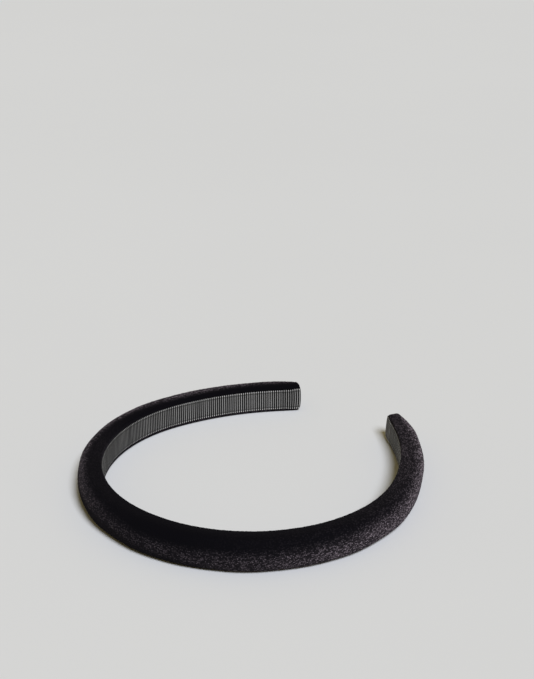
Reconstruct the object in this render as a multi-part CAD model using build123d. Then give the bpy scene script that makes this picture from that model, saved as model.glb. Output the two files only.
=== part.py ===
"""Padded velvet headband, lying on its lower edge, in millimetres.

+Z runs across the band's width, the crown is towards -Y and the two arms reach towards +Y. The band is symmetric
about the YZ plane. Seen from above, the face that touches the head is one long crown arc with a flatter arm arc
at each side, and every layer is measured outwards from that face.

The real band is one springy piece. It bends most at its crown when the arms are opened, so each layer is two
nodes that meet there, and the crown hinge turns the right half about the middle of the core's thickness.
"""

from build123d import *
import os
from math import atan2, cos, degrees, sin, sqrt

# Plan of the face that touches the head
crown_radius = 66.0
crown_length = 125.0       # from the crown's middle, one side
arm_radius = 112.0
arm_length = 53.0
tip_length = 12.0          # the arm runs on straight into its rounded tip

# The covered band's section
band_width = 15.0          # along Z
band_depth = 11.0          # from the head to the padding's crown
cover_inset = 0.7          # the lining and its glue stand this far in from the velvet
crown_bulge_radius = 12.0
shoulder_bulge_radius = 5.0
hem_corner_radius = 1.2

# Layers, from the head outwards
lining_thickness = 0.5
lining_width = 12.0
lining_drop = 0.5          # the ribbon is glued on a little below the band's middle
velvet_thickness = 0.8
hem_width = 4.2            # each edge of the velvet is turned in this far
glue_thickness = 0.2
lining_glue_width = 11.0
hem_glue_width = 3.0
core_thickness = 1.6
core_width = 12.0
core_end_radius = 3.0
foam_clearance = 0.1       # between the foam and the velvet around it

# How far each half stays from the crown's middle plane
soft_seam_gap = 0.15
core_seam_gap = 0.45       # lets the core's halves turn 30 degrees without touching

# How far the flat layers stop short of the tip
lining_end_gap = 0.4
glue_end_gap = 1.0
core_end_gap = 2.5

mid_height = band_width / 2
lining_height = mid_height - lining_drop
hem_face = cover_inset + velvet_thickness
core_face = hem_face + glue_thickness
tape_face = core_face + core_thickness
foam_face = tape_face + glue_thickness


def padded_section():
    """The covered band's D-shaped outline: flat against the head, bulging outwards, as a face in (depth, height)."""
    half = band_width / 2
    rise = half - shoulder_bulge_radius
    run = sqrt((crown_bulge_radius - shoulder_bulge_radius) ** 2 - rise**2)
    crown_x = band_depth - crown_bulge_radius
    shoulder_x = crown_x + run
    corner_x = cover_inset + hem_corner_radius
    corner_y = half - hem_corner_radius
    meet = degrees(atan2(rise, run))
    outline = [
        CenterArc((crown_x, 0), crown_bulge_radius, -meet, 2 * meet),
        CenterArc((shoulder_x, rise), shoulder_bulge_radius, meet, 90 - meet),
        Line((shoulder_x, half), (corner_x, half)),
        CenterArc((corner_x, corner_y), hem_corner_radius, 90, 90),
        Line((cover_inset, corner_y), (cover_inset, -corner_y)),
        CenterArc((corner_x, -corner_y), hem_corner_radius, 180, 90),
        Line((corner_x, -half), (shoulder_x, -half)),
        CenterArc((shoulder_x, -rise), shoulder_bulge_radius, 270, 90 - meet),
    ]
    return Pos(0, mid_height) * make_face(outline)


def strip(inner_face, thickness, width, height=mid_height):
    """A flat layer's section: a rectangle that starts at inner_face, centred at the given height."""
    return Pos(inner_face + thickness / 2, height) * Rectangle(thickness, width)


def outside(depth):
    """Everything farther from the head than depth, to trim a section with."""
    return Pos(depth + band_depth, mid_height) * Rectangle(2 * band_depth, 2 * band_width)


def station(centre, radius, heading):
    """The point where an arc about centre has this heading, as a plane with X outwards and Y up."""
    outward = Vector(sin(heading), -cos(heading), 0)
    return Plane(origin=centre + outward * radius, x_dir=outward, z_dir=Vector(-cos(heading), -sin(heading), 0))


crown_turn = crown_length / crown_radius
arm_turn = arm_length / arm_radius
crown_centre = Vector(0, crown_radius, 0)
crown_end = station(crown_centre, crown_radius, crown_turn)
arm_centre = crown_end.origin - crown_end.x_dir * arm_radius
arm_end = station(arm_centre, arm_radius, crown_turn + arm_turn)


def bent(section, seam_gap):
    """The section carried along the right half's crown and arm arcs."""
    start = seam_gap / crown_radius
    crown_start = station(crown_centre, crown_radius, start)
    crown = revolve(crown_start * section, Axis(crown_centre, (0, 0, 1)), degrees(crown_turn - start))
    arm = revolve(crown_end * section, Axis(arm_centre, (0, 0, 1)), degrees(arm_turn))
    return crown + arm


def run_out(section, length):
    """The section carried straight on from the end of the arm."""
    return extrude(arm_end * section, -length)


def rounded_tip(section, inset):
    """The section carried on to inset short of the tip, with its outer corner a quarter ellipse seen from above."""
    length = tip_length - inset
    depth = band_depth - inset
    outline = [
        Line((0, 0), (0, length)),
        Line((0, length), (foam_face, length)),
        EllipticalCenterArc((foam_face, 0), depth - foam_face, length, 0, arc_size=90),
        Line((depth, 0), (0, 0)),
    ]
    seen_from_above = Plane(arm_end.origin, arm_end.x_dir, (0, 0, 1)) * make_face(outline)
    return run_out(section, length) & extrude(seen_from_above, band_width)


def velvet_cover():
    """The velvet sleeve: a tube round the foam and core, its edges turned in behind the lining."""
    outer = padded_section()
    cavity = offset(outer, -velvet_thickness, kind=Kind.INTERSECTION)
    hem_gap = strip(cover_inset, 2 * velvet_thickness, band_width - 2 * hem_width)
    hollow = rounded_tip(cavity, velvet_thickness) + run_out(hem_gap, tip_length - velvet_thickness)
    return bent(outer - cavity - hem_gap, soft_seam_gap) + (rounded_tip(outer, 0) - hollow)


def foam_pad():
    """The foam that fills the velvet outside the core."""
    inset = velvet_thickness + foam_clearance
    section = offset(padded_section(), -inset, kind=Kind.INTERSECTION) & outside(foam_face)
    return bent(section, soft_seam_gap) + rounded_tip(section, inset)


def flat_layer(section, end_gap, seam_gap=soft_seam_gap):
    """A layer of even thickness that follows the band and stops end_gap short of the tip."""
    return bent(section, seam_gap) + run_out(section, tip_length - end_gap)


def core_band():
    """The springy plastic strip, with rounded ends."""
    solid = flat_layer(strip(core_face, core_thickness, core_width), core_end_gap, core_seam_gap)
    across = solid.edges().filter_by(Axis(arm_end.origin, arm_end.x_dir))
    end_corners = across.sort_by(Axis(arm_end.origin, -arm_end.z_dir))[-2:]
    return fillet(end_corners, core_end_radius)


def hem_glue():
    """Two strips that hold the velvet's turned edges to the core."""
    inset = (core_width - hem_glue_width) / 2
    layers = [
        flat_layer(strip(hem_face, glue_thickness, hem_glue_width, mid_height + side * inset), core_end_gap)
        for side in (-1, 1)
    ]
    return Compound(children=[layer.solid() for layer in layers])


right_half = {
    "velvet_cover": velvet_cover(),
    "foam_pad": foam_pad(),
    "core_band": core_band(),
    "foam_tape": bent(strip(tape_face, glue_thickness, core_width), soft_seam_gap),
    "hem_glue": hem_glue(),
    "lining_glue": flat_layer(strip(lining_thickness, glue_thickness, lining_glue_width, lining_height), glue_end_gap),
    "grosgrain_lining": flat_layer(strip(0, lining_thickness, lining_width, lining_height), lining_end_gap),
}

outline = right_half["velvet_cover"].bounding_box()
to_origin = Pos(0, -(outline.min.Y + outline.max.Y) / 2, 0)   # the origin is under the middle of the whole outline

os.makedirs("parts", exist_ok=True)
for name, shape in right_half.items():
    placed = to_origin * shape
    export_step(placed, f"parts/{name}_right.step")
    export_step(mirror(placed, Plane.YZ), f"parts/{name}_left.step")

pivot = Vector(0, to_origin.position.Y - core_face - core_thickness / 2, mid_height)
head_centre = Vector(0, to_origin.position.Y + crown_radius, lining_height)
tip = to_origin.position + arm_end.origin - arm_end.z_dir * tip_length
print(f"crown hinge at {pivot}, head circle's centre at {head_centre}, radius {crown_radius}")
print(f"tips {2 * tip.X:.1f} mm apart and {tip.Y - to_origin.position.Y:.1f} mm from the crown")
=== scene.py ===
import math
import bmesh
import bpy
import numpy as np
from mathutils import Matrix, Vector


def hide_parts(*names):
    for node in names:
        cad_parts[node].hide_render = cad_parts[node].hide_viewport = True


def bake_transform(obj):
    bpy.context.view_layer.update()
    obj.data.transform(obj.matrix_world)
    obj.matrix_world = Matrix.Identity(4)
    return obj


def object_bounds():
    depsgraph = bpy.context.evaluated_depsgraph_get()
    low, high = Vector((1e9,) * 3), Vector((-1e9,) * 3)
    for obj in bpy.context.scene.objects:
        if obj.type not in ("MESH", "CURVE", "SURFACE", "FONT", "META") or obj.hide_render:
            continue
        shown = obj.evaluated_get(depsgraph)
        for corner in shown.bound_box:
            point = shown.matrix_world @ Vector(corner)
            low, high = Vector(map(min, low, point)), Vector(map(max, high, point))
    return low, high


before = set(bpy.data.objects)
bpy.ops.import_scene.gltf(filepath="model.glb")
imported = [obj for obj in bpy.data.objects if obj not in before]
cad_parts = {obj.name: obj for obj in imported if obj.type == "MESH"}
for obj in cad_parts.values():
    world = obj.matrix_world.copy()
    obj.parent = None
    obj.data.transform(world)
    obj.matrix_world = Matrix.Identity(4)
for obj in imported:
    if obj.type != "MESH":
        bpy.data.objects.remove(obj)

cadLow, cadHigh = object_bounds()
print("frame loaded")

mm = 0.001

# The band's plan, as the CAD has it: a long crown arc, a flatter arm arc at each side and a straight tip.
plan = {"crownRadius": 66 * mm, "crownLength": 125 * mm, "armRadius": 112 * mm, "armLength": 53 * mm,
        "tipLength": 12 * mm, "bandDepth": 11 * mm,
        "rightLean": 0.9 * mm, "leanHeight": 15 * mm, "leanFrom": 135 * mm, "leanOver": 55 * mm}
halfLength = plan["crownLength"] + plan["armLength"] + plan["tipLength"]
crownFaceY = cadLow.y + plan["bandDepth"]  # where the face against the head crosses the middle


def bandFrame(along):
    # A point at signed distance along the face against the head, and the way out from the head there. The
    # heading grows with the curvature of each arc, and past the arm arc the line runs straight on.
    crownTurn = plan["crownLength"] / plan["crownRadius"]
    armTurn = plan["armLength"] / plan["armRadius"]
    far = np.abs(along)
    inArm = np.clip(far - plan["crownLength"], 0, plan["armLength"])
    heading = np.minimum(far, plan["crownLength"]) / plan["crownRadius"] + inArm / plan["armRadius"]
    onCrown = np.minimum(heading, crownTurn)
    x = plan["crownRadius"] * np.sin(onCrown)
    y = plan["crownRadius"] * (1 - np.cos(onCrown))
    x = x + plan["armRadius"] * (np.sin(heading) - np.sin(onCrown))
    y = y + plan["armRadius"] * (np.cos(onCrown) - np.cos(heading))
    beyond = np.maximum(far - plan["crownLength"] - plan["armLength"], 0)
    x = x + beyond * math.cos(crownTurn + armTurn)
    y = y + beyond * math.sin(crownTurn + armTurn)
    side = np.where(along < 0, -1.0, 1.0)
    return side * x, crownFaceY + y, side * np.sin(heading), -np.cos(heading)


def placed(along, depth, height):
    # Band coordinates to the row frame: out from the head by depth, up by height. The right arm leans a
    # little, so towards its tip the lower edge stands farther in, in proportion to the distance below the
    # upper edge.
    below = np.clip(1 - height / plan["leanHeight"], 0, 1)
    depth = depth - plan["rightLean"] * smooth((along - plan["leanFrom"]) / plan["leanOver"]) * below
    x, y, outX, outY = bandFrame(along)
    return np.stack([x + outX * depth, y + outY * depth, height], -1)


def smooth(t):
    # 0 below 0, 1 above 1 and an even S between
    t = np.clip(t, 0, 1)
    return t * t * (3 - 2 * t)


def ringMesh(name, along, depth, height, marks=None, flip=False, nap=0.0):
    # Rings of points in band coordinates, one row each, joined to the next ring by quads and closed round.
    # A ring drawn in to a point closes the end. The UV map is in metres, along the band and round the
    # middle ring, marks are numbers kept for each point, and nap moves each point along its normal by that
    # array.
    rings, around = depth.shape
    along = np.broadcast_to(along, depth.shape)
    points = placed(along, depth, height)
    alongTangent = np.gradient(points, axis=0)
    roundTangent = np.roll(points, -1, 1) - np.roll(points, 1, 1)
    normal = np.cross(roundTangent, alongTangent)
    normal = normal / np.maximum(np.linalg.norm(normal, axis=-1, keepdims=True), 1e-12)
    points = (points + normal * np.broadcast_to(nap, depth.shape)[..., None]).reshape(-1, 3)
    row, column = np.meshgrid(np.arange(rings - 1), np.arange(around), indexing="ij")
    after = (column + 1) % around
    quads = np.stack([row * around + column, row * around + after,
                      (row + 1) * around + after, (row + 1) * around + column], -1).reshape(-1, 4)
    corners = np.stack([column, column + 1, column + 1, column], -1).reshape(-1, 4)
    cornerRows = np.stack([row, row, row + 1, row + 1], -1).reshape(-1, 4)
    if flip:
        quads, corners, cornerRows = quads[:, ::-1], corners[:, ::-1], cornerRows[:, ::-1]
    mesh = bpy.data.meshes.new(name)
    mesh.from_pydata(points.tolist(), [], quads.tolist())
    middle = rings // 2
    outStep = np.diff(depth[middle], append=depth[middle, 0])
    upStep = np.diff(height[middle], append=height[middle, 0])
    step = np.hypot(outStep, upStep)
    roundUp = np.concatenate([[0], np.cumsum(step)])
    layer = mesh.uv_layers.new(name="bandUV")
    uv = np.stack([along[cornerRows, corners % around], roundUp[corners]], -1)
    layer.data.foreach_set("uv", uv.astype(np.float32).ravel())
    for markName, values in (marks or {}).items():
        mark = mesh.attributes.new(markName, "FLOAT", "POINT")
        mark.data.foreach_set("value", np.broadcast_to(values, depth.shape).astype(np.float32).ravel())
    piece = bpy.data.objects.new(name, mesh)
    bpy.context.scene.collection.objects.link(piece)
    work = bmesh.new()
    work.from_mesh(mesh)
    bmesh.ops.remove_doubles(work, verts=work.verts, dist=1e-6)
    bmesh.ops.dissolve_degenerate(work, edges=work.edges, dist=1e-8)
    work.to_mesh(mesh)
    work.free()
    mesh.polygons.foreach_set("use_smooth", np.ones(len(mesh.polygons), bool))
    mesh.update()
    return piece


def bendsWith(piece, slotName, *nodes):
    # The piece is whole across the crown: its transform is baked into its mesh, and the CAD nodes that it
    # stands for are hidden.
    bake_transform(piece)
    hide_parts(*nodes)


def bothSides(name):
    # The CAD's two nodes for one layer: its name with each half's ending.
    return name + "_left", name + "_right"


# The cover's hems follow the ribbon's edges, so the ribbon's measures come first.
ribbon = {"widthCrown": 10.8 * mm, "widthTip": 10.0 * mm, "drop": 0.38 * mm, "endGap": 0.15 * mm,
          "thickness": 0.68 * mm, "glueRoom": 0.24 * mm, "face": 0.16 * mm, "middle": 0.35 * mm,
          "ribPitch": 1.08 * mm, "ribHeight": 0.2 * mm, "ribSamples": 6, "scallop": 0.14 * mm,
          "selvedge": 0.85 * mm, "grooveWidth": 0.17 * mm, "edgeRound": 0.35 * mm, "endRound": 0.45 * mm,
          "foldLength": 7 * mm, "foldStart": 1.6 * mm, "foldRise": 0.3 * mm,
          "spread": 0.4 * mm, "spreadFrom": 8 * mm, "spreadOver": 7 * mm,
          "lift": 0.25 * mm, "liftFrom": 6 * mm, "liftOver": 5 * mm,
          # The ribbon's own tone, then the painted light that brightens each arm towards its tip: how much,
          # where it starts and over what length it grows.
          "toneBase": 0.29, "paintedLightLeft": 0.21, "paintedLightRight": 0.22,
          "paintedLightLeftSpan": (70 * mm, 90 * mm), "paintedLightRightSpan": (100 * mm, 60 * mm)}


def ribbonHalf(along):
    # Half the ribbon's width, a little less towards the tips.
    narrowing = ribbon["widthTip"] - ribbon["widthCrown"]
    return (ribbon["widthCrown"] + narrowing * np.abs(along) / halfLength) / 2


cover = {"widthCrown": 15.9 * mm, "widthTip": 14.0 * mm, "depthCrown": 11.5 * mm, "depthTip": 10.3 * mm,
         "inset": 0.7 * mm, "crownBulge": 11.6 * mm, "shoulder": 4.9 * mm, "corner": 1.1 * mm,
         "thickness": 0.8 * mm, "hem": 4.2 * mm,
         "roll": 0.62 * mm, "rollDepth": 2.4 * mm, "rollOver": 0.8 * mm,
         "narrowAbove": 0.09, "narrowBelow": 0.03, "narrowDepth": 5.5 * mm,
         "tipAxis": 3.4 * mm, "tipRound": 17 * mm, "edgeRound": 1.7 * mm, "tipLean": 12 * mm,
         "upperBack": (0.5 * mm, 1.3 * mm), "lowerBack": (0.9 * mm, 0.3 * mm),
         "pulledOut": (0.3 * mm, 2.8 * mm),
         "lump": 0.11 * mm, "lumpFrom": 4 * mm, "lumpOver": 6 * mm,
         "waves": [(0.037, 1, 0.6), (0.0221, 0.7, 2.1), (0.061, 0.5, 4.0)],  # length, share and start of each
         "nap": 0.05 * mm, "floorBand": (6.9 * mm, 2 * mm), "thinning": 2.2, "rings": 350}


def bandWidth(along):
    # The padded band narrows a little towards the tips, in proportion to the distance.
    return cover["widthCrown"] + (cover["widthTip"] - cover["widthCrown"]) * np.abs(along) / halfLength


def bandDepth(along):
    # The padding thins towards the tips in the same way.
    return cover["depthCrown"] + (cover["depthTip"] - cover["depthCrown"]) * np.abs(along) / halfLength


def leaned(along, height):
    # The ends aren't cut square: their upper corner is drawn back by the square of the height above the
    # middle, their lower corner by the square of the depth below it, and it fades out tipLean before the
    # end. Each pair of measures is the left tip's and the right tip's, and the right tip was pulled out the
    # farther.
    side = np.where(along < 0, -1.0, 1.0)
    upper, lower, out = (np.where(side < 0, *cover[k]) for k in ("upperBack", "lowerBack", "pulledOut"))
    share = height / (bandWidth(along) / 2)
    back = upper * np.clip(share + 0.1, 0, 1) ** 2
    back = back + lower * np.clip(-share, 0, 1) ** 2
    back = back - out
    window = np.clip(1 - (halfLength - np.abs(along)) / cover["tipLean"], 0, 1)
    return along - side * back * window ** 2


def paddedOutline(along, inset, samples):
    # Half of the D outline from the hem's edge to the padding's crown, then its mirror image. Two tangent
    # arcs make the bulge, a small arc the corner at the head, and inset draws every line in by that much.
    half = bandWidth(along)[:, None] / 2
    depth = bandDepth(along)[:, None]
    bulge, shoulder, corner = cover["crownBulge"], cover["shoulder"], cover["corner"]
    rise = half - shoulder
    run = np.sqrt((bulge - shoulder) ** 2 - rise ** 2)
    meet = np.arctan2(rise, run)
    crownX = depth - bulge
    shoulderX = crownX + run
    face, turn, flat, over = (np.linspace(0, 1, samples[k], endpoint=False)[None]
                              for k in ("hem", "corner", "flat", "shoulder"))
    last = np.linspace(0, 1, samples["crown"])[None]
    hemX = cover["inset"] + inset
    bulge, shoulder, corner = bulge - inset, shoulder - inset, max(corner - inset, 0.2 * mm)
    top = half - inset
    hemFrom = half - cover["hem"]
    quarter = math.pi / 2
    turn = turn * quarter
    over = over * (quarter - meet)
    parts = [
        (hemX + 0 * face * half, hemFrom + (top - corner - hemFrom) * face),
        (hemX + corner * (1 - np.cos(turn)) + 0 * half, top - corner + corner * np.sin(turn)),
        (hemX + corner + (shoulderX - hemX - corner) * flat, top + 0 * flat),
        (shoulderX + shoulder * np.sin(over), rise + shoulder * np.cos(over)),
        (crownX + bulge * np.cos(meet * (1 - last)), bulge * np.sin(meet * (1 - last))),
    ]
    outX = np.concatenate([p[0] for p in parts], 1)
    outZ = np.concatenate([p[1] for p in parts], 1)
    return np.concatenate([outX, outX[:, -2::-1]], 1), np.concatenate([outZ, -outZ[:, -2::-1]], 1)


def rolledHems(along, depth, height):
    # The section narrows towards the head by the square of the nearness, and beyond the ribbon's edges the
    # hems roll forward as far as the ribbon's face.
    near = np.clip(1 - depth / cover["narrowDepth"], 0, 1)
    height = height * (1 - np.where(height > 0, cover["narrowAbove"], cover["narrowBelow"]) * near ** 2)
    pastRibbon = np.abs(height + ribbon["drop"]) - ribbonHalf(along)[:, None]
    shallow = 1 - smooth((depth - cover["inset"]) / cover["rollDepth"])
    return depth - cover["roll"] * smooth(pastRibbon / cover["rollOver"] + 0.25) * shallow, height


def tipStations(inset, count):
    # Distances along the band, closer together at the tips, and how far each ring is drawn in at the
    # rounded end: first a quarter turn of edgeRound, then a flat end face that closes on its middle.
    end = halfLength - inset
    edge = max(cover["edgeRound"] - inset, 0.5 * mm)
    middle = np.linspace(0, end - cover["tipRound"], count)
    nearTip = end - edge - (cover["tipRound"] - edge) * np.linspace(1, 0, 30)[1:] ** 1.3
    turn = np.linspace(0, math.pi / 2, 7)[1:]
    rounded = end - edge + edge * np.sin(turn)
    closing = [0.8, 0.55, 0.3, 0.1, 0.0]  # how wide the end face's rings are
    along = np.concatenate([middle, nearTip, rounded, np.full(len(closing), end)])
    drawn = np.concatenate([np.zeros(len(middle) + len(nearTip)), edge * (1 - np.cos(turn)),
                            np.full(len(closing), edge)])
    shut = np.concatenate([np.ones(len(along) - len(closing)), closing])
    return (np.concatenate([-along[:0:-1], along]), np.concatenate([drawn[:0:-1], drawn]),
            np.concatenate([shut[:0:-1], shut]))


def roundedTip(along, depth, height, inset, drawn, shut):
    # Near a tip everything farther out than tipAxis falls away in a quarter ellipse, as foam and velvet are
    # pulled over the end, and the last rings close on the middle of the face against the head.
    end = halfLength - inset
    toEnd = np.clip((end - np.abs(along)) / cover["tipRound"], 0, 1)
    fall = np.sqrt(np.clip(1 - (1 - toEnd) ** 2, 0, 1))[:, None]
    axis = cover["tipAxis"]
    depth = np.where(depth > axis, axis + (depth - axis) * fall, depth)
    face = cover["inset"] + inset
    thin = axis - cover["inset"] - inset
    half = bandWidth(along)[:, None] / 2
    acrossDepth = (1 - drawn[:, None] / (cover["thinning"] * thin)) * shut[:, None]
    acrossHeight = (1 - drawn[:, None] / half) * shut[:, None]
    return face + (depth - face) * acrossDepth, height * acrossHeight


# Painted light and sheen on the velvet, at stations along the band in millimetres from the crown's middle:
# the faces that turn out from the head are painted lighter. Below the angle "above" up the section the
# painted light grows over "blend" degrees, as far as "shows", and past the angle "below" it fades again.
# "rest" is painted light everywhere. 0 degrees is straight out from the head and 90 straight up.
paintedLightBands = {"along": [-180, -160, -127, -97, -67, -52, -22, 0, 22, 52, 82, 112, 142, 178],
             "above": [100, 103, 107, 90, 80, 76, 58, 40, 34, 38, 49, 58, 72, 96],
             "blend": [50, 50, 44, 32, 40, 44, 32, 36, 44, 60, 62, 56, 52, 50],
             "below": [-60, -60, -60, -20, 20, 28, 25, 0, -15, -60, -90, -90, -90, -90],
             "shows": [0.66, 0.95, 0.78, 0.62, 0.52, 0.44, 0.13, 0.10, 0.15, 0.25, 0.48, 0.67, 0.84, 0.82],
             "rest": [0, 0, 0, 0, 0.03, 0.02, 0.01, 0, 0, 0.01, 0.02, 0.07, 0.20, 0.19]}
paintedLightEdge = {"stays": 0.12, "fade": 34}  # the share of painted light that stays past "below", and the degrees it takes to fade
foamAxis = 3.5 * mm  # the tape's outer face, where the foam starts and about which the angles of the painted light turn


def paintedLightAt(along, depth, height):
    # How much painted light and sheen lies on the velvet, from 0 to 1: rest, plus shows times an S over blend
    # times an S that falls off past below.
    angle = np.degrees(np.arctan2(height, depth - foamAxis))
    above, blend, below, shows, rest = (np.interp(along / mm, paintedLightBands["along"], paintedLightBands[k])
                                        for k in ("above", "blend", "below", "shows", "rest"))
    stays, fade = paintedLightEdge["stays"], paintedLightEdge["fade"]
    low = stays + (1 - stays) * smooth((angle - below + fade) / fade)
    return np.minimum(rest + shows * smooth((above - angle) / blend) * low, 1)


def velvetCover():
    # Outer and inner D outlines carried along the band, joined at the hems' edges into one closed shell.
    rng = np.random.default_rng(11)
    outerSamples = {"hem": 9, "corner": 6, "flat": 5, "shoulder": 9, "crown": 12}
    innerSamples = {"hem": 3, "corner": 2, "flat": 2, "shoulder": 4, "crown": 5}
    alongOuter, drawn, shut = tipStations(0.0, cover["rings"])
    depthOuter, heightOuter = paddedOutline(alongOuter, 0.0, outerSamples)
    # painted light and sheen on the outer face, kept on each point as a mark
    paintedLight = paintedLightAt(alongOuter[:, None], depthOuter, heightOuter)
    depthOuter, heightOuter = rolledHems(alongOuter, depthOuter, heightOuter)
    # foam is never quite even under its cover, so three waves of unlike length lift it
    waves = sum(share * np.sin(alongOuter * 2 * math.pi / length + start)
                for length, share, start in cover["waves"])
    bulging = smooth((depthOuter - cover["lumpFrom"]) / cover["lumpOver"])
    depthOuter = depthOuter + cover["lump"] * waves[:, None] * bulging
    depthOuter, heightOuter = roundedTip(alongOuter, depthOuter, heightOuter, 0.0, drawn, shut)
    alongInner, drawnInner, shutInner = tipStations(cover["thickness"], cover["rings"])
    depthInner, heightInner = paddedOutline(alongInner, cover["thickness"], innerSamples)
    depthInner, heightInner = roundedTip(alongInner, depthInner, heightInner, cover["thickness"],
                                         drawnInner, shutInner)
    along = np.concatenate([np.broadcast_to(alongOuter[:, None], depthOuter.shape),
                            np.broadcast_to(alongInner[:, None], depthInner.shape)], 1)
    depth = np.concatenate([depthOuter, depthInner[:, ::-1]], 1)
    height = np.concatenate([heightOuter, heightInner[:, ::-1]], 1)
    outer = np.arange(depth.shape[1]) < depthOuter.shape[1]
    nap = rng.normal(0, cover["nap"], depth.shape) * outer * (np.abs(along) < halfLength - 1 * mm)
    downFrom, over = cover["floorBand"]
    nap = nap * smooth((height + downFrom) / over)  # pressed flat where it lies on the floor
    # the inner face gets no painted light
    paintedLight = np.concatenate([paintedLight, np.zeros(depthInner.shape)], 1)
    return ringMesh("velvet_cover", leaned(along, height), depth, height + bandWidth(along) / 2,
                    {"paintedLight": paintedLight}, True, nap)


velvet = velvetCover()
print("velvet cover:", len(velvet.data.polygons), "faces")


def doubledEnds(rows):
    # The first and the last row once more, to be drawn in to a point.
    return np.concatenate([rows[:1], rows, rows[-1:]])


def grosgrainLining():
    # A closed strip of rings. The face against the head is ribbed: each rib is a rounded cord across the
    # ribbon, |cos| of the distance along it, and near each selvedge a groove cuts its end off as a bead.
    rng = np.random.default_rng(5)
    end = halfLength - ribbon["endGap"]
    ribCount = int(2 * end / ribbon["ribPitch"])
    along = np.linspace(-end, end, ribCount * ribbon["ribSamples"] + 1)
    phase = along * ribCount / (2 * end)
    cord = np.abs(np.cos(phase * math.pi))
    half = ribbonHalf(along)
    across = np.concatenate([[-1.0, -0.985, -0.955, -0.91, -0.875, -0.845, -0.81], np.linspace(-0.7, 0.7, 5),
                             [0.81, 0.845, 0.875, 0.91, 0.955, 0.985, 1.0]])
    inFromEdge = half[:, None] * (1 - np.abs(across))
    groove = np.exp(-((inFromEdge - ribbon["selvedge"]) / ribbon["grooveWidth"]) ** 2)
    edgeFall = np.sqrt(np.clip(1 - (1 - np.clip(inFromEdge / ribbon["edgeRound"], 0, 1)) ** 2, 0, 1))
    rib = ribbon["ribHeight"] * cord[:, None] * (1 - 0.5 * groove) * edgeFall
    rise = ribbon["foldRise"] * smooth((np.abs(along) - (end - ribbon["foldLength"])) / ribbon["foldStart"])
    nearEnd = np.clip((end - np.abs(along)) / ribbon["endRound"], 0, 1)
    endFall = np.sqrt(np.clip(1 - (1 - nearEnd) ** 2, 0, 1))
    faceDepth = ribbon["face"] - rib * endFall[:, None] - (rise * endFall)[:, None]
    nearTip = smooth((np.abs(along) - (end - ribbon["spreadFrom"])) / ribbon["spreadOver"])
    wide = half + ribbon["scallop"] * (cord - 0.5) + ribbon["spread"] * nearTip
    back = np.array([1.0, 0.96, 0.95, 0.0, -0.95, -0.96, -1.0])
    backDepth = ribbon["thickness"] - ribbon["glueRoom"] * (np.abs(back) < 0.955)
    depth = np.concatenate([faceDepth, np.broadcast_to(backDepth, (len(along), len(back)))], 1)
    height = wide[:, None] * np.concatenate([across, back])
    # Painted highlight and shade for the ribs: the cord's profile, lifted on the bead past each selvedge
    # groove and lowered a little in the groove, later paints light on the crests and shade between the cords.
    bead = 1 + 0.12 * smooth((ribbon["selvedge"] - inFromEdge) / (0.2 * mm)) * edgeFall
    paintedRibShade = cord[:, None] * (1 - 0.1 * groove) * bead
    paintedRibShade = np.concatenate([paintedRibShade, np.zeros((len(along), len(back)))], 1)
    ribTone = 0.7 + 0.6 * rng.random(ribCount + 2)
    leftFrom, leftOver = ribbon["paintedLightLeftSpan"]
    rightFrom, rightOver = ribbon["paintedLightRightSpan"]
    leftPaintedLight = ribbon["paintedLightLeft"] * smooth((-along - leftFrom) / leftOver)
    rightPaintedLight = ribbon["paintedLightRight"] * smooth((along - rightFrom) / rightOver)
    armLight = ribbon["toneBase"] + leftPaintedLight + rightPaintedLight  # the ribbon's own tone, plus painted light that makes it brighter along each arm towards its tip
    # each rib's own random tone times the painted light along the arms
    tone = (ribTone[np.round(phase - phase[0]).astype(int)] * armLight)[:, None]
    # at the tips the ribbon's upper edge rides up over the fold
    lift = ribbon["lift"] * smooth((np.abs(along) - (end - ribbon["liftFrom"])) / ribbon["liftOver"])
    height = height + (bandWidth(along) / 2 - ribbon["drop"] + lift)[:, None]
    along, depth, height = doubledEnds(along), doubledEnds(depth), doubledEnds(height)
    paintedRibShade, tone = doubledEnds(paintedRibShade), doubledEnds(tone)
    depth[[0, -1]] = ribbon["middle"]
    height[[0, -1]] = bandWidth(along[:1]) / 2 - ribbon["drop"]
    middle = bandWidth(along)[:, None] / 2
    along = leaned(np.broadcast_to(along[:, None], depth.shape), height - middle)
    return ringMesh("grosgrain_lining", along, depth, height, {"cord": paintedRibShade, "tone": tone})


lining = grosgrainLining()
print("lining:", len(lining.data.polygons), "faces")

# The flat layers inside the band, in millimetres, each from its inner face outwards.
layers = {
    "lining_glue": {"from": 0.46, "thickness": 0.2, "width": 9.9, "drop": 0.7, "endGap": 2.6, "round": 0.5},
    "core_band": {"from": 1.72, "thickness": 1.55, "width": 11.6, "drop": 0.0, "endGap": 2.6, "round": 3.2},
    "foam_tape": {"from": 3.28, "thickness": 0.2, "width": 11.6, "drop": 0.0, "endGap": 12.5, "round": 0.5},
    "hem_glue": {"from": 1.5, "thickness": 0.2, "width": 2.8, "drop": 4.4, "endGap": 3.5, "round": 0.9},
}


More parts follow.
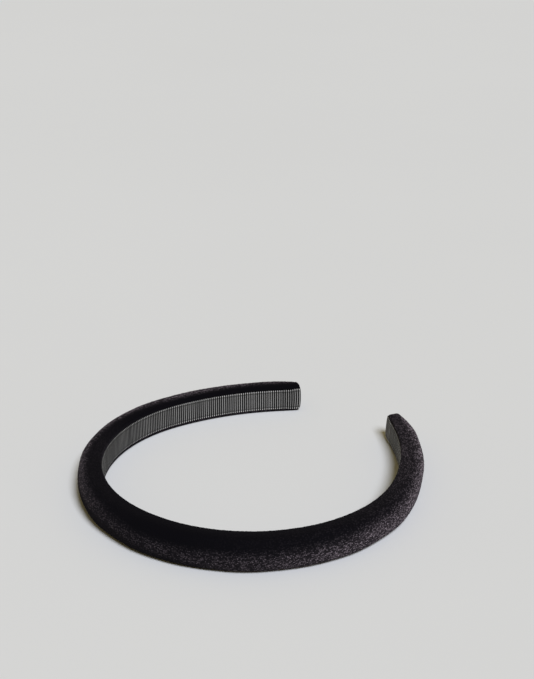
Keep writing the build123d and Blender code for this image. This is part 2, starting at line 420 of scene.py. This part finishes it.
def flatLayer(name, settings):
    # A strip of even thickness: a rectangle with eased corners carried along the band, its ends rounded.
    thick, half = settings["thickness"] * mm, settings["width"] * mm / 2
    ease = min(0.3 * mm, thick / 2.2)
    turn = np.linspace(0, math.pi / 2, 4)
    cornerX = thick / 2 - ease + ease * np.sin(turn)
    cornerZ = half - ease + ease * np.cos(turn)
    ringX = np.concatenate([cornerX, cornerX[::-1], -cornerX, -cornerX[::-1]])
    ringZ = np.concatenate([cornerZ, -cornerZ[::-1], -cornerZ, cornerZ[::-1]])
    end = halfLength - settings["endGap"] * mm
    bend = settings["round"] * mm
    turnOff = np.linspace(0, math.pi / 2, 8)
    straight = np.linspace(0, end - bend, 150)
    along = np.concatenate([straight, end - bend + bend * np.sin(turnOff[1:]), [end]])
    narrowed = np.concatenate([np.zeros(len(straight)), bend * (1 - np.cos(turnOff[1:])), [bend]])
    shut = np.ones(len(along))
    shut[-1] = 0
    along = np.concatenate([-along[:0:-1], along])
    narrowed = np.concatenate([narrowed[:0:-1], narrowed])
    shut = np.concatenate([shut[:0:-1], shut])
    middle = settings["from"] * mm + thick / 2
    depth = middle + ringX[None] * shut[:, None]
    scale = (1 - narrowed / half) * shut
    height = ringZ[None] * scale[:, None] + (bandWidth(along) / 2 - settings["drop"] * mm)[:, None]
    return ringMesh(name, along[:, None], depth, height)


liningGlue = flatLayer("lining_glue", layers["lining_glue"])
coreBand = flatLayer("core_band", layers["core_band"])
foamTape = flatLayer("foam_tape", layers["foam_tape"])


def hemGlue():
    # Two thin beads of glue on the core's inner face, one under each turned-in edge.
    bead = layers["hem_glue"]
    strips = [flatLayer("hem_glue", {**bead, "drop": bead["drop"] * side}) for side in (-1, 1)]
    work = bmesh.new()
    for strip in strips:
        work.from_mesh(strip.data)
    work.to_mesh(strips[0].data)
    work.free()
    bpy.data.objects.remove(strips[1])
    return strips[0]


hemGlueStrips = hemGlue()


def foamPad():
    # The D outline inside the velvet, kept outside the tape, with its own rounded tip.
    clearance = 0.1 * mm
    inset = cover["thickness"] + clearance
    along, drawn, shut = tipStations(inset, 140)
    samples = {"hem": 2, "corner": 2, "flat": 4, "shoulder": 6, "crown": 8}
    depth, height = paddedOutline(along, inset, samples)
    depth, height = roundedTip(along, np.maximum(depth, foamAxis), height, inset, drawn, shut)
    depth = np.maximum(depth, foamAxis)
    return ringMesh("foam_pad", along[:, None], depth, height + (bandWidth(along) / 2)[:, None], flip=True)


foam = foamPad()
print("inner layers made")


def nodeMaterial(name):
    # A new material, its nodes, its links and its main shader.
    material = bpy.data.materials.new(name)
    material.use_nodes = True
    nodes = material.node_tree.nodes
    return material, nodes, material.node_tree.links, nodes["Principled BSDF"]


def makeMottle():
    # Uneven tone for plain finishes: noise on object coordinates, stretched over the range from low to high.
    group = bpy.data.node_groups.new("mottle", "ShaderNodeTree")
    group.interface.new_socket("Scale", in_out="INPUT", socket_type="NodeSocketFloat")
    group.interface.new_socket("Low", in_out="INPUT", socket_type="NodeSocketColor")
    group.interface.new_socket("High", in_out="INPUT", socket_type="NodeSocketColor")
    group.interface.new_socket("Color", in_out="OUTPUT", socket_type="NodeSocketColor")
    group.interface.new_socket("Height", in_out="OUTPUT", socket_type="NodeSocketFloat")
    nodes, links = group.nodes, group.links
    given = nodes.new("NodeGroupInput")
    result = nodes.new("NodeGroupOutput")
    place = nodes.new("ShaderNodeTexCoord")
    noise = nodes.new("ShaderNodeTexNoise")
    noise.inputs["Detail"].default_value = 3
    links.new(place.outputs["Object"], noise.inputs["Vector"])
    links.new(given.outputs["Scale"], noise.inputs["Scale"])
    spread = nodes.new("ShaderNodeMapRange")
    spread.inputs["From Min"].default_value = 0.35
    spread.inputs["From Max"].default_value = 0.65
    links.new(noise.outputs["Fac"], spread.inputs["Value"])
    mix = nodes.new("ShaderNodeMix")
    mix.data_type = "RGBA"
    links.new(spread.outputs["Result"], mix.inputs["Factor"])
    links.new(given.outputs["Low"], mix.inputs["A"])
    links.new(given.outputs["High"], mix.inputs["B"])
    links.new(mix.outputs["Result"], result.inputs["Color"])
    links.new(spread.outputs["Result"], result.inputs["Height"])
    return group


mottle = makeMottle()


def mottled(name, look):
    # A plain finish: mottled colour, a fine bump from the same noise and one roughness.
    material, nodes, links, shader = nodeMaterial(name)
    tone = nodes.new("ShaderNodeGroup")
    tone.node_tree = mottle
    tone.inputs["Scale"].default_value = look["scale"]
    tone.inputs["Low"].default_value = look["low"]
    tone.inputs["High"].default_value = look["high"]
    links.new(tone.outputs["Color"], shader.inputs["Base Color"])
    bump = nodes.new("ShaderNodeBump")
    bump.inputs["Strength"].default_value = look["bump"]
    bump.inputs["Distance"].default_value = look["relief"]
    links.new(tone.outputs["Height"], bump.inputs["Height"])
    links.new(bump.outputs["Normal"], shader.inputs["Normal"])
    shader.inputs["Roughness"].default_value = look["roughness"]
    return material


def ranged(nodes, links, source, low, high, toLow=0.0, toHigh=1.0):
    # The source's values from low to high, spread evenly from toLow to toHigh.
    node = nodes.new("ShaderNodeMapRange")
    node.inputs["From Min"].default_value = low
    node.inputs["From Max"].default_value = high
    node.inputs["To Min"].default_value = toLow
    node.inputs["To Max"].default_value = toHigh
    links.new(source, node.inputs["Value"])
    return node.outputs["Result"]


def times(nodes, links, one, other):
    # One value times another.
    node = nodes.new("ShaderNodeMath")
    node.operation = "MULTIPLY"
    links.new(one, node.inputs[0])
    links.new(other, node.inputs[1])
    return node.outputs["Value"]


# The velvet's own near-black, then the colour of the painted lit ground and of the painted glints laid over
# it where painted light lies.
velvetLook = {"shut": (0.0042, 0.0039, 0.0052, 1), "paintedLitGround": (0.040, 0.033, 0.038, 1),
              "paintedGlint": (0.70, 0.585, 0.67, 1), "rowScale": (1550, 1950, 1), "rowTurn": 0.22,
              "unevenness": 0.9, "patchScale": 150, "bump": 0.5, "relief": 0.15 * mm,
              "sheen": 0.04, "sheenRoughness": 0.45, "sheenTint": (0.75, 0.70, 0.80, 1)}


def velvetMaterial():
    # Black, the velvet's own colour, where no painted light lies. Where the painted-light mark is on, a
    # painted lit brown-black ground with painted glints: tufts stand in rows that run a little askew of the
    # band, and each tuft's own random lightness, squared, shows at its middle as a painted glint.
    material, nodes, links, shader = nodeMaterial("black_velvet")
    uv = nodes.new("ShaderNodeUVMap")
    uv.uv_map = "bandUV"
    paintedLight = nodes.new("ShaderNodeAttribute")
    paintedLight.attribute_name = "paintedLight"
    rows = nodes.new("ShaderNodeMapping")
    rows.inputs["Scale"].default_value = velvetLook["rowScale"]
    rows.inputs["Rotation"].default_value = (0, 0, velvetLook["rowTurn"])
    links.new(uv.outputs["UV"], rows.inputs["Vector"])
    tufts = nodes.new("ShaderNodeTexVoronoi")
    tufts.voronoi_dimensions = "2D"
    tufts.inputs["Scale"].default_value = 1
    tufts.inputs["Randomness"].default_value = velvetLook["unevenness"]
    links.new(rows.outputs["Vector"], tufts.inputs["Vector"])
    own = nodes.new("ShaderNodeSeparateColor")
    links.new(tufts.outputs["Color"], own.inputs["Color"])
    patch = nodes.new("ShaderNodeTexNoise")
    patch.inputs["Scale"].default_value = velvetLook["patchScale"]
    patch.inputs["Detail"].default_value = 3
    links.new(uv.outputs["UV"], patch.inputs["Vector"])
    # painted glints: each tuft's own random lightness, squared, at its middle
    lightness = ranged(nodes, links, own.outputs["Red"], 0.25, 1.0)
    tuftMiddle = ranged(nodes, links, tufts.outputs["Distance"], 0.62, 0.18)
    paintedGlint = times(nodes, links, times(nodes, links, lightness, lightness), tuftMiddle)
    # how much painted light lies here, made patchy by noise
    patchy = ranged(nodes, links, patch.outputs["Fac"], 0.3, 0.7, 0.75, 1.08)
    paintedLightShare = times(nodes, links, paintedLight.outputs["Fac"], patchy)
    ground = nodes.new("ShaderNodeMix")
    ground.data_type = "RGBA"
    ground.inputs["A"].default_value = velvetLook["shut"]
    ground.inputs["B"].default_value = velvetLook["paintedLitGround"]
    links.new(paintedLightShare, ground.inputs["Factor"])
    colour = nodes.new("ShaderNodeMix")
    colour.data_type = "RGBA"
    colour.inputs["B"].default_value = velvetLook["paintedGlint"]
    links.new(times(nodes, links, paintedGlint, paintedLightShare), colour.inputs["Factor"])
    links.new(ground.outputs["Result"], colour.inputs["A"])
    links.new(colour.outputs["Result"], shader.inputs["Base Color"])
    bump = nodes.new("ShaderNodeBump")
    bump.inputs["Strength"].default_value = velvetLook["bump"]
    bump.inputs["Distance"].default_value = velvetLook["relief"]
    links.new(tuftMiddle, bump.inputs["Height"])
    links.new(bump.outputs["Normal"], shader.inputs["Normal"])
    shader.inputs["Roughness"].default_value = 1.0
    shader.inputs["Specular IOR Level"].default_value = 0.0
    shader.inputs["Sheen Weight"].default_value = velvetLook["sheen"]
    shader.inputs["Sheen Roughness"].default_value = velvetLook["sheenRoughness"]
    shader.inputs["Sheen Tint"].default_value = velvetLook["sheenTint"]
    return material


# The colours paint shade in the grooves between the cords and a highlight on the cords' crests.
grosgrainLook = {"groove": (0.004, 0.004, 0.0045, 1), "cord": (0.98, 0.955, 0.93, 1), "cordFrom": 0.86,
                 "threadScale": (9000, 1400, 1), "bump": 0.35, "relief": 0.05 * mm,
                 "roughness": 0.6, "gloss": 0.3}


def grosgrainMaterial():
    # Nearly black painted shade between the cords and a grey painted highlight on their crests, times each
    # cord's own random tone and the painted light along the arms, with fine threads running over the cords.
    material, nodes, links, shader = nodeMaterial("grosgrain")
    cord = nodes.new("ShaderNodeAttribute")
    cord.attribute_name = "cord"
    tone = nodes.new("ShaderNodeAttribute")
    tone.attribute_name = "tone"
    # the ramp paints shade between the cords and light on their crests
    ramp = nodes.new("ShaderNodeValToRGB")
    ramp.color_ramp.elements[0].position = grosgrainLook["cordFrom"]
    ramp.color_ramp.elements[1].position = 1.0
    ramp.color_ramp.elements[0].color = grosgrainLook["groove"]
    ramp.color_ramp.elements[1].color = grosgrainLook["cord"]
    links.new(cord.outputs["Fac"], ramp.inputs["Fac"])
    shade = nodes.new("ShaderNodeMix")
    shade.data_type = "RGBA"
    shade.blend_type = "MULTIPLY"
    shade.inputs["Factor"].default_value = 1
    links.new(ramp.outputs["Color"], shade.inputs["A"])
    links.new(tone.outputs["Fac"], shade.inputs["B"])
    links.new(shade.outputs["Result"], shader.inputs["Base Color"])
    uv = nodes.new("ShaderNodeUVMap")
    uv.uv_map = "bandUV"
    stretch = nodes.new("ShaderNodeMapping")
    stretch.inputs["Scale"].default_value = grosgrainLook["threadScale"]
    links.new(uv.outputs["UV"], stretch.inputs["Vector"])
    thread = nodes.new("ShaderNodeTexNoise")
    thread.inputs["Scale"].default_value = 1
    links.new(stretch.outputs["Vector"], thread.inputs["Vector"])
    bump = nodes.new("ShaderNodeBump")
    bump.inputs["Strength"].default_value = grosgrainLook["bump"]
    bump.inputs["Distance"].default_value = grosgrainLook["relief"]
    links.new(thread.outputs["Fac"], bump.inputs["Height"])
    links.new(bump.outputs["Normal"], shader.inputs["Normal"])
    shader.inputs["Roughness"].default_value = grosgrainLook["roughness"]
    shader.inputs["Specular IOR Level"].default_value = grosgrainLook["gloss"]
    return material


foamLook = {"scale": 1400, "low": (0.52, 0.50, 0.42, 1), "high": (0.74, 0.72, 0.64, 1), "bump": 0.7,
            "relief": 0.2 * mm, "roughness": 0.95}
coreLook = {"scale": 260, "low": (0.018, 0.018, 0.019, 1), "high": (0.032, 0.032, 0.034, 1), "bump": 0.15,
            "relief": 0.05 * mm, "roughness": 0.38}
tapeLook = {"scale": 500, "low": (0.72, 0.70, 0.62, 1), "high": (0.82, 0.80, 0.72, 1), "bump": 0.2,
            "relief": 0.05 * mm, "roughness": 0.55}
glueLook = {"scale": 320, "low": (0.46, 0.38, 0.22, 1), "high": (0.62, 0.54, 0.36, 1), "bump": 0.4,
            "relief": 0.08 * mm, "roughness": 0.22}

velvet.data.materials.append(velvetMaterial())
lining.data.materials.append(grosgrainMaterial())
foam.data.materials.append(mottled("upholstery_foam", foamLook))
coreBand.data.materials.append(mottled("core_plastic", coreLook))
foamTape.data.materials.append(mottled("foam_tape", tapeLook))
glueFinish = mottled("dried_glue", glueLook)
liningGlue.data.materials.append(glueFinish)
hemGlueStrips.data.materials.append(glueFinish)
print("materials made")

# Which CAD nodes the pieces stand for: these are hidden, and each piece's transform is baked into its mesh.
bendsWith(velvet, "velvet", *bothSides("velvet_cover"))
bendsWith(lining, "grosgrain", *bothSides("grosgrain_lining"))
bendsWith(liningGlue, "glue", *bothSides("lining_glue"))
bendsWith(coreBand, "core_plastic", *bothSides("core_band"))
bendsWith(foamTape, "glue", *bothSides("foam_tape"))
bendsWith(hemGlueStrips, "glue", *bothSides("hem_glue"))
bendsWith(foam, "foam", *bothSides("foam_pad"))

floorLook = {"scale": 3, "low": (0.795, 0.795, 0.795, 1), "high": (0.805, 0.805, 0.805, 1), "bump": 0.0,
             "relief": 0.1 * mm, "roughness": 1.0}
studio = {"floorSize": 6.0, "backdrop": (0.658, 0.658, 0.645, 1),
          "fillColour": (1.0, 0.84, 0.42, 1), "fillStrength": 0.20,
          "keyToward": (1.0, -0.56), "keyElevation": 50, "keyColour": (0.857, 0.90, 1.0), "keyStrength": 3.0,
          "keySoftness": 22}

floorMesh = bpy.data.meshes.new("floor")
far = studio["floorSize"] / 2
floorMesh.from_pydata([(-far, -far, 0), (far, -far, 0), (far, far, 0), (-far, far, 0)], [], [(0, 1, 2, 3)])
floor = bpy.data.objects.new("floor", floorMesh)
bpy.context.scene.collection.objects.link(floor)
floor.data.materials.append(mottled("floor_paint", floorLook))

# The fill light is warm and even, and the backdrop behind the floor's far edge has the floor's own tone.
world = bpy.data.worlds.new("studio_world")
bpy.context.scene.world = world
world.use_nodes = True
worldNodes = world.node_tree.nodes
fill = worldNodes["Background"]
fill.inputs["Color"].default_value = studio["fillColour"]
fill.inputs["Strength"].default_value = studio["fillStrength"]
backdrop = worldNodes.new("ShaderNodeBackground")
backdrop.inputs["Color"].default_value = studio["backdrop"]
rayKind = worldNodes.new("ShaderNodeLightPath")
either = worldNodes.new("ShaderNodeMixShader")
worldLinks = world.node_tree.links
worldLinks.new(rayKind.outputs["Is Camera Ray"], either.inputs["Fac"])
worldLinks.new(fill.outputs["Background"], either.inputs[1])
worldLinks.new(backdrop.outputs["Background"], either.inputs[2])
worldLinks.new(either.outputs["Shader"], worldNodes["World Output"].inputs["Surface"])

keyData = bpy.data.lights.new("key_light", "SUN")
keyData.energy = studio["keyStrength"]
keyData.color = studio["keyColour"]
keyData.angle = math.radians(studio["keySoftness"])
key = bpy.data.objects.new("key_light", keyData)
bpy.context.scene.collection.objects.link(key)
key.location = (0.4, 0, 0.6)
key.rotation_euler = (math.radians(90 - studio["keyElevation"]), 0,
                      math.atan2(studio["keyToward"][1], studio["keyToward"][0]) + math.pi / 2)

view = {"place": (0.34308, -0.43364, 0.3065), "azimuth": 37.59, "tilt": 23.115, "lens": 73.69}
cameraData = bpy.data.cameras.new("camera")
cameraData.lens = view["lens"]
cameraData.sensor_width = 36
camera = bpy.data.objects.new("camera", cameraData)
bpy.context.scene.collection.objects.link(camera)
camera.location = view["place"]
camera.rotation_euler = (math.radians(90 - view["tilt"]), 0, math.radians(view["azimuth"]))
bpy.context.scene.camera = camera
bpy.context.scene.view_settings.view_transform = "Standard"
print("floor, light and camera placed")

print("scene finished")
